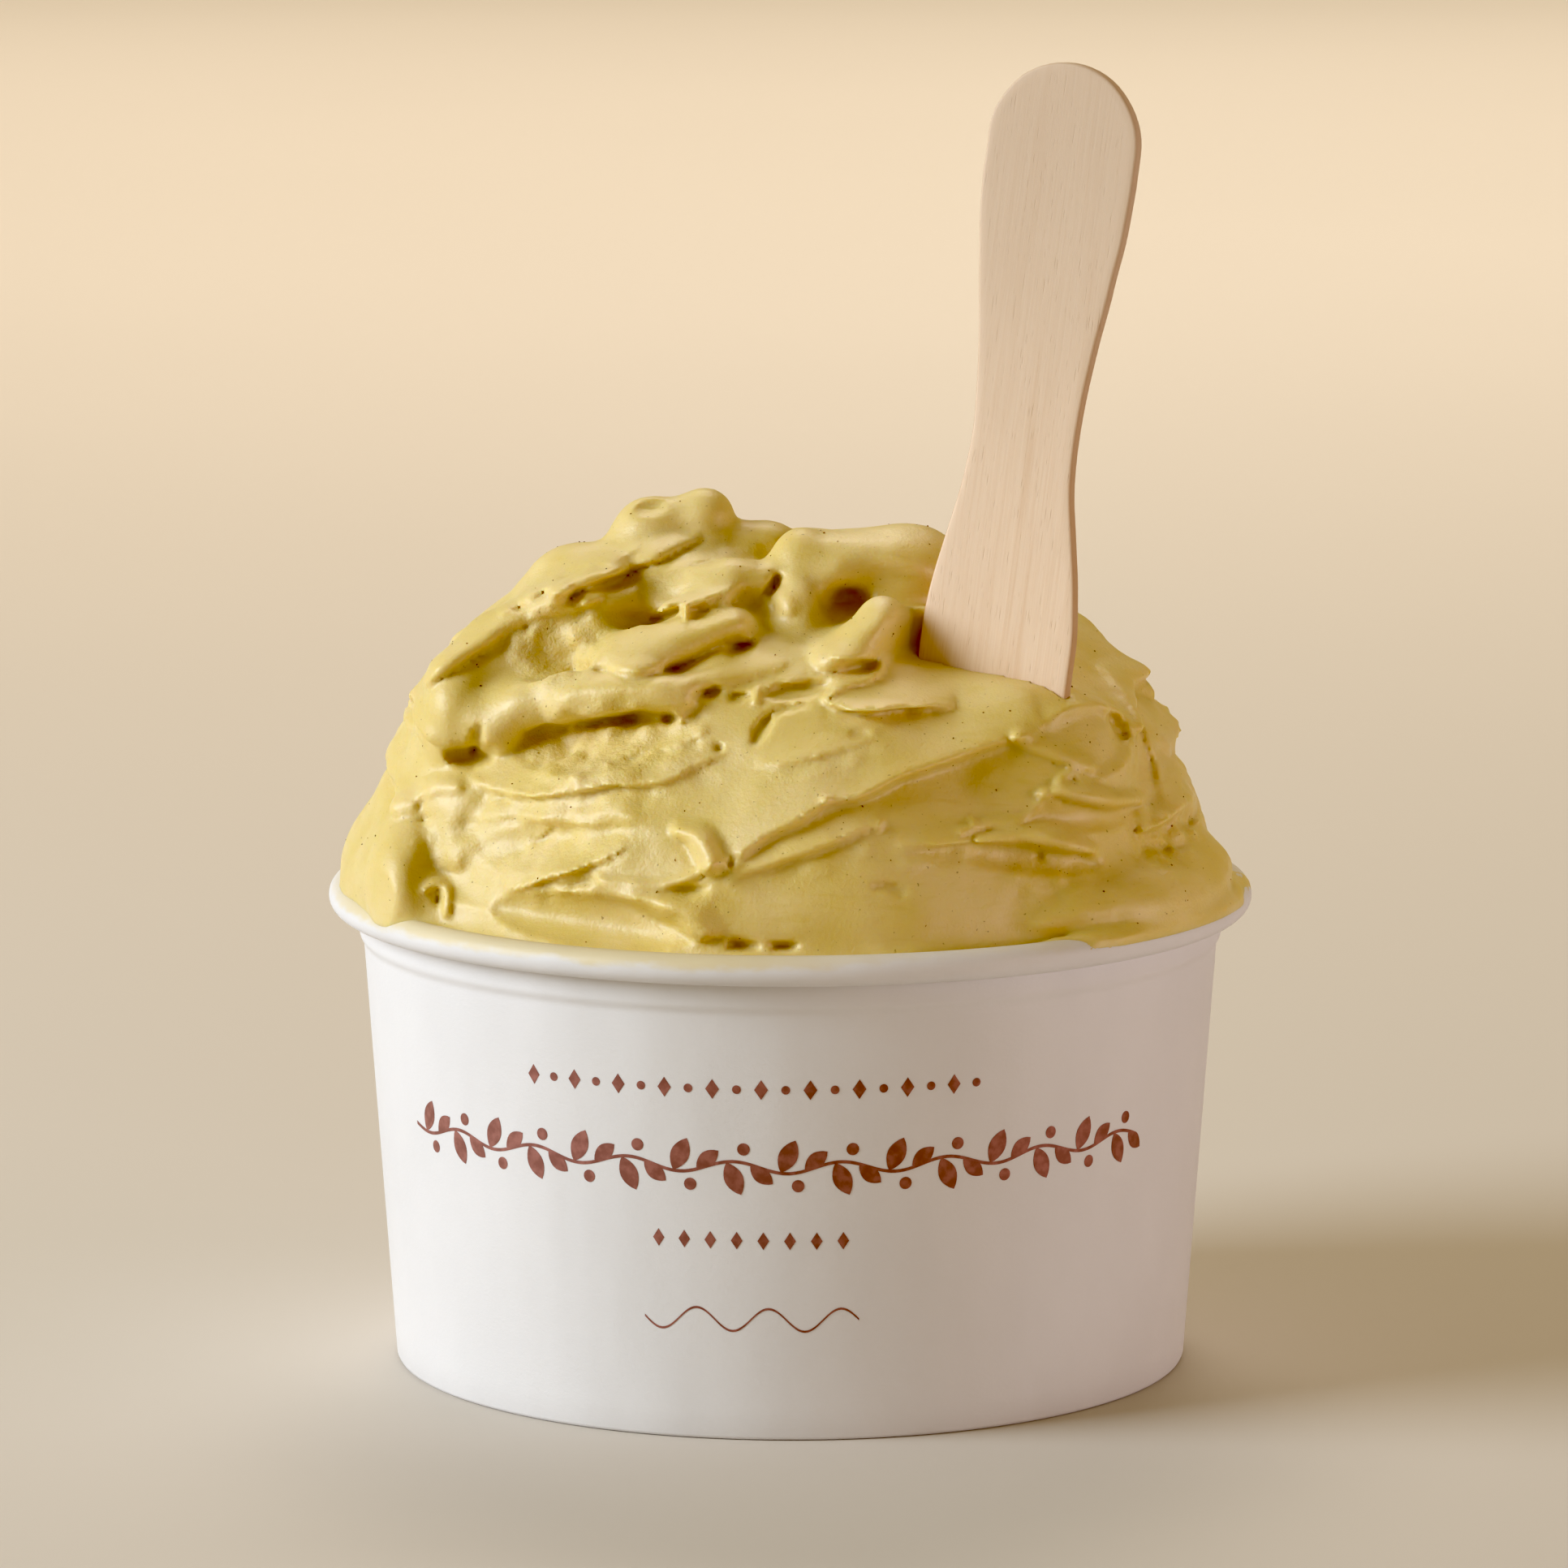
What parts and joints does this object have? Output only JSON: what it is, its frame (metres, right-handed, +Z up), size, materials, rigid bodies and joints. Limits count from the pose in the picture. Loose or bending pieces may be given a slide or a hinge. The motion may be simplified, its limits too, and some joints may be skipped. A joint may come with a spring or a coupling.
{
  "type": "gelato cup",
  "caption": "Round tapered paper cup with a rolled rim, heaped with folded pistachio gelato, a flat wooden paddle spoon standing in it.",
  "frame": {"origin": "centre of the cup's foot, on the surface it stands on", "axes": "+Z up along the cup's axis, +X to the right and +Y away from the viewer, who sees the front of the cup"},
  "size_m": [0.09, 0.09, 0.128],
  "materials": {
    "paper": "coated, satin",
    "gelato": "moist and creamy, soft gloss",
    "wood": "bare birch"
  },
  "bodies": {
    "root": {"cup_wall": "paper", "cup_bottom": "paper", "gelato": "gelato", "spoon": "wood"}
  },
  "joints": []
}
